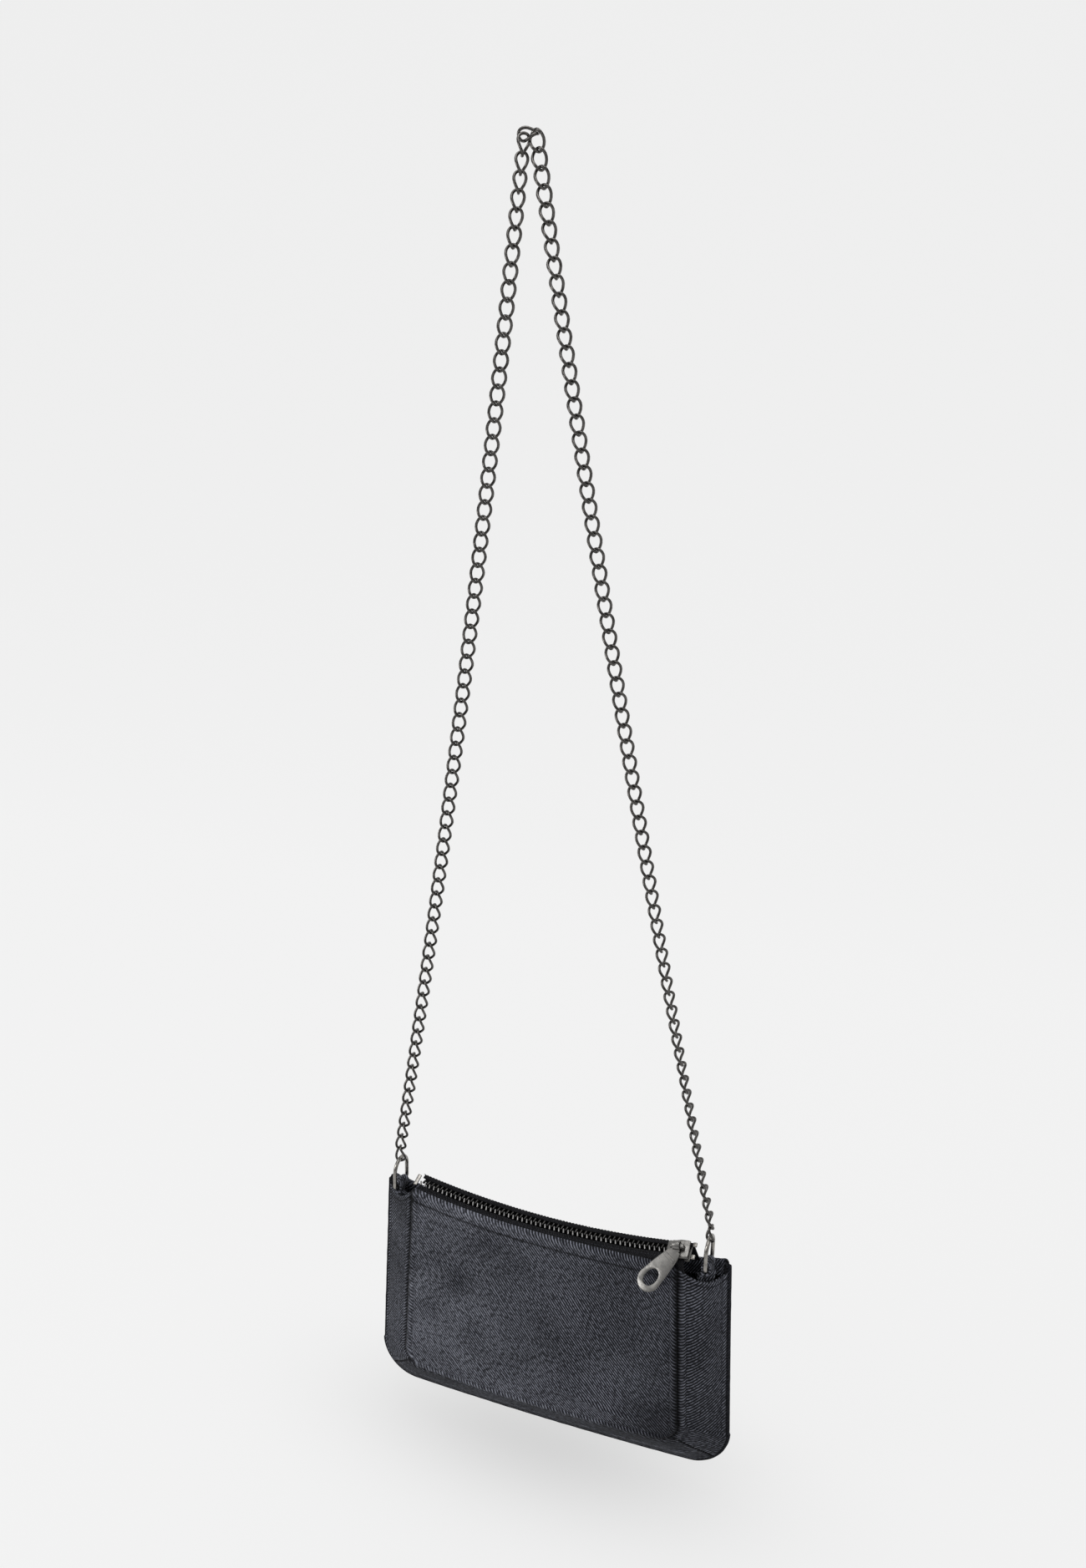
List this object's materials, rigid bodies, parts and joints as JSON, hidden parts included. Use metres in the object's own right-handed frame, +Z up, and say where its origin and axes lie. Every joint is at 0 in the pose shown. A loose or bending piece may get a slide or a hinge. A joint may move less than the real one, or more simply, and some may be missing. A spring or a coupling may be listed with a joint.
{
  "type": "chain strap mini bag",
  "caption": "Small zipped denim pouch, narrow at the front and wide at the back, hung by rings from a twisted-link chain strap",
  "frame": {"origin": "where a peg bears under the middle link of the chain strap", "axes": "+Z up, the front of the pouch faces -Y, +X to the right seen from the front"},
  "size_m": [0.201, 0.0305, 0.6326],
  "materials": {
    "denim": "dark washed denim twill with topstitched seams",
    "denim_dark": "dark washed denim twill",
    "binding": "folded denim binding",
    "lining": "plain black lining",
    "zip_tape": "black woven zip tape",
    "chain_metal": "dark gunmetal wire",
    "ring_metal": "bright gunmetal wire",
    "tooth_metal": "dull nickel",
    "slider_metal": "satin nickel"
  },
  "bodies": {
    "strap": {"chain_top_link": "chain_metal", "chain_left": "chain_metal", "chain_right": "chain_metal"},
    "end_link_left_body": {"end_link_left": "chain_metal"},
    "end_link_right_body": {"end_link_right": "chain_metal"},
    "ring_left_body": {"ring_left": "ring_metal"},
    "ring_right_body": {"ring_right": "ring_metal"},
    "pouch": {"front_panel": "denim", "back_panel": "denim", "gusset_left": "denim_dark", "gusset_right": "denim_dark", "gusset_bottom": "denim_dark", "back_binding": "binding", "lining_front": "lining", "lining_back": "lining", "lining_gusset": "lining", "zip_tape_front": "zip_tape", "zip_tape_back": "zip_tape", "zip_teeth_front": "tooth_metal", "zip_teeth_back": "tooth_metal", "zip_stop_bottom": "tooth_metal", "zip_stops_top": "tooth_metal", "tab_left": "denim_dark", "tab_right": "denim_dark"},
    "slider": {"slider_body": "slider_metal", "slider_bridge": "slider_metal"},
    "pull": {"pull_tab": "slider_metal"}
  },
  "joints": [
    {"name": "left_link_nod", "type": "hinge", "parent": "strap", "child": "end_link_left_body", "pos_m": [-0.0625, 0, -0.47639], "axis": [1, 0, 0], "range_deg": [-15, 15]},
    {"name": "right_link_nod", "type": "hinge", "parent": "strap", "child": "end_link_right_body", "pos_m": [0.1045, 0, -0.47639], "axis": [1, 0, 0], "range_deg": [-15, 15]},
    {"name": "left_ring_swing", "type": "hinge", "parent": "end_link_left_body", "child": "ring_left_body", "pos_m": [-0.0625, 0, -0.48162], "axis": [0, 1, 0], "range_deg": [-25, 25]},
    {"name": "right_ring_swing", "type": "hinge", "parent": "end_link_right_body", "child": "ring_right_body", "pos_m": [0.1045, 0, -0.48162], "axis": [0, 1, 0], "range_deg": [-25, 25]},
    {"name": "pouch_level", "type": "hinge", "parent": "ring_left_body", "child": "pouch", "pos_m": [-0.0625, 0, -0.49662], "axis": [0, 1, 0], "range_deg": [-25, 25]},
    {"name": "slider_run", "type": "hinge", "parent": "pouch", "child": "slider", "pos_m": [0.021, 0, -0.08494], "axis": [0, 1, 0], "range_deg": [0, 18.6]},
    {"name": "pull_swing", "type": "hinge", "parent": "slider", "child": "pull", "pos_m": [0.08996, -0.0061, -0.48611], "axis": [0.9855, 0, 0.1694], "range_deg": [-100, 0]}
  ],
  "couplings": [
    {"joint": "right_link_nod", "follows": "left_link_nod", "ratio": 1},
    {"joint": "left_ring_swing", "follows": "pouch_level", "ratio": -1},
    {"joint": "right_ring_swing", "follows": "pouch_level", "ratio": -1}
  ]
}
